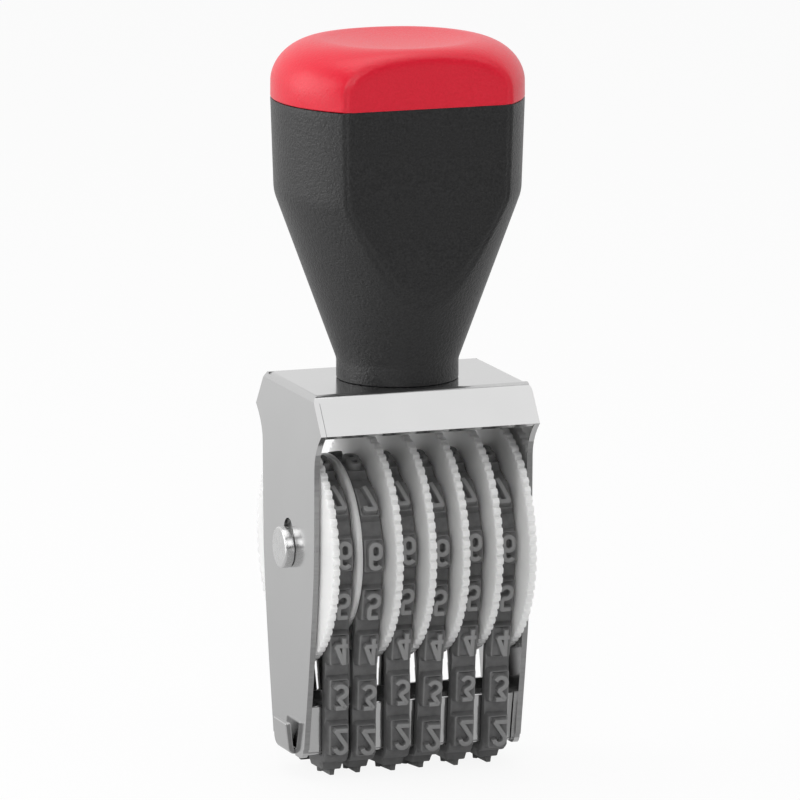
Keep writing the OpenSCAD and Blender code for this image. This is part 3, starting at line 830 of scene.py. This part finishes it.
black = moulded("black_plastic", (0.007, 0.007, 0.0073), (0.022, 0.022, 0.0225), 0.38, 0.11 * mm)
red = moulded("red_plastic", (0.72, 0.005, 0.025), (0.78, 0.007, 0.032), 0.33, 0.03 * mm)
grip = flatted_turning("grip_moulding", grip_profile())
dress(grip, [black], "stamp_body", ["handle_body"])
cap = flatted_turning("cap_moulding", cap_profile())
dress(cap, [red], "stamp_body", ["handle_cap"])

# ---------------------------------------------------------------- studio
# A white floor in a pale room, with soft boxes above, beside and before the stamp, and a long lens
# that looks at it from the left and a little above. The stamp stands on its type, as on paper.

camera_turn = math.radians(-19.675)
camera_rise = math.radians(10.623)
camera_roll = math.radians(0.054)
camera_distance = 1404.7 * mm
camera_shift_right = 0.379 * mm
camera_shift_up = -3.313 * mm
aim_height = 55.8 * mm
focal_length = 450
floor_half = 1.6

camera_back = Vector((
    math.sin(camera_turn) * math.cos(camera_rise),
    -math.cos(camera_turn) * math.cos(camera_rise),
    math.sin(camera_rise),
))
camera_right = Vector((math.cos(camera_turn), math.sin(camera_turn), 0))
camera_up = camera_back.cross(camera_right)
rolled_right = math.cos(camera_roll) * camera_right + math.sin(camera_roll) * camera_up
rolled_up = math.cos(camera_roll) * camera_up - math.sin(camera_roll) * camera_right
camera_place = (
    Vector((0, 0, aim_height))
    + camera_back * camera_distance
    + rolled_right * camera_shift_right
    + rolled_up * camera_shift_up
)
camera = bpy.data.objects.new("camera", bpy.data.cameras.new("camera"))
camera.data.sensor_width = 36
camera.data.lens = focal_length
camera.data.clip_start = 0.01
camera.matrix_world = Matrix.Translation(camera_place) @ Matrix(
    (rolled_right, rolled_up, camera_back)
).transposed().to_4x4()
scene.collection.objects.link(camera)
scene.camera = camera
scene.view_settings.view_transform = "Standard"


def soft_box(name, place, size, brightness, aim=(0, 0, 0.06)):
    """A rectangular lamp at place, turned to aim, of that brightness over its face."""
    lamp = bpy.data.objects.new(name, bpy.data.lights.new(name, "AREA"))
    lamp.data.shape = "RECTANGLE"
    lamp.data.size, lamp.data.size_y = size
    lamp.data.energy = brightness * math.pi * size[0] * size[1]
    lamp.location = place
    lamp.rotation_euler = (Vector(place) - Vector(aim)).to_track_quat("Z", "Y").to_euler()
    scene.collection.objects.link(lamp)


soft_box("top_box", (-0.05, 0.0, 0.8), (0.7, 0.6), 1.5)
soft_box("brow_box", (0.28, -0.46, 0.72), (0.6, 0.4), 0.85)
soft_box("left_box", (-0.62, 0.16, 0.25), (0.6, 0.5), 2.1)
soft_box("fill_box", (-0.36, -0.66, 0.48), (0.5, 0.5), 2.25)


def reckon(tree, operation, *terms):
    """The result of a Math node, whose terms are sockets to link or numbers to set."""
    node = tree.nodes.new("ShaderNodeMath")
    node.operation = operation
    for socket, term in zip(node.inputs, terms):
        if isinstance(term, float):
            socket.default_value = term
        else:
            tree.links.new(term, socket)
    return node.outputs[0]


def blend(tree, share, first, second, output):
    """Sends the first shader to the output, and the second in its place by the share."""
    mix = tree.nodes.new("ShaderNodeMixShader")
    for socket, source in zip(mix.inputs, (share, first, second)):
        tree.links.new(source, socket)
    tree.links.new(mix.outputs[0], output.inputs["Surface"])


# The room is bright behind the stamp and dim before it, and plain white where it is seen.
world = bpy.data.worlds.new("studio")
scene.world = world
world.use_nodes = True
air = world.node_tree
air.nodes.clear()
air_place = air.nodes.new("ShaderNodeTexCoord")
air_dot = air.nodes.new("ShaderNodeVectorMath")
air_dot.operation = "DOT_PRODUCT"
air_dot.inputs[1].default_value = camera_back
air.links.new(air_place.outputs["Generated"], air_dot.inputs[0])
air_fade = remap(air, air_dot.outputs["Value"], (-0.2, 0.75), (1.1, 0.2))
air_fade.node.interpolation_type = "SMOOTHSTEP"
air_room = air.nodes.new("ShaderNodeBackground")
air.links.new(air_fade, air_room.inputs["Strength"])
air_white = air.nodes.new("ShaderNodeBackground")
air_white.inputs["Color"].default_value = (*grey(1), 1)
air_white.inputs["Strength"].default_value = 1.0
air_ray = air.nodes.new("ShaderNodeLightPath").outputs
air_seen = reckon(air, "MAXIMUM", air_ray["Is Camera Ray"], air_ray["Is Transmission Ray"])
air_output = air.nodes.new("ShaderNodeOutputWorld")
blend(air, air_seen, air_room.outputs[0], air_white.outputs[0], air_output)

# The floor is white where it is seen. What the steel mirrors of it is a painted reflection: it
# darkens towards the operator, with a bright patch painted at the front left in place of a card.
floor_shape = bmesh.new()
bmesh.ops.create_grid(floor_shape, x_segments=1, y_segments=1, size=floor_half)
floor = new_piece("floor", floor_shape)
floor_paint, floor_tree, floor_shader = paint("floor_paint", grey(0.8), 0.9)
floor_shader.inputs["Specular IOR Level"].default_value = 0
floor_place = floor_tree.nodes.new("ShaderNodeTexCoord")
floor_split = floor_tree.nodes.new("ShaderNodeSeparateXYZ")
floor_tree.links.new(floor_place.outputs["Object"], floor_split.inputs[0])
# Painted reflection: the glow that glossy rays see fades darker towards the operator, and a painted
# bright patch lifts it at the front left.
floor_mirrored = remap(floor_tree, floor_split.outputs["Y"], (-0.3, 0.3), (0.35, 0.8))
painted_patch_left = remap(floor_tree, floor_split.outputs["X"], (-0.10, -0.15), (0.0, 0.9))
painted_patch_near = remap(floor_tree, floor_split.outputs["Y"], (0.12, 0.04), (0.0, 1.0))
floor_painted_reflection = reckon(floor_tree, "MULTIPLY_ADD", painted_patch_left, painted_patch_near, floor_mirrored)
floor_ray = floor_tree.nodes.new("ShaderNodeLightPath").outputs
floor_bright = reckon(floor_tree, "MAXIMUM", floor_painted_reflection, floor_ray["Is Camera Ray"])
floor_seen = reckon(floor_tree, "MAXIMUM", floor_ray["Is Camera Ray"], floor_ray["Is Glossy Ray"])
floor_share = reckon(floor_tree, "MULTIPLY", floor_seen, 0.9)
floor_glow = floor_tree.nodes.new("ShaderNodeEmission")
floor_tree.links.new(floor_bright, floor_glow.inputs["Strength"])
floor_output = floor_tree.nodes["Material Output"]
blend(floor_tree, floor_share, floor_shader.outputs[0], floor_glow.outputs[0], floor_output)
floor.data.materials.append(floor_paint)
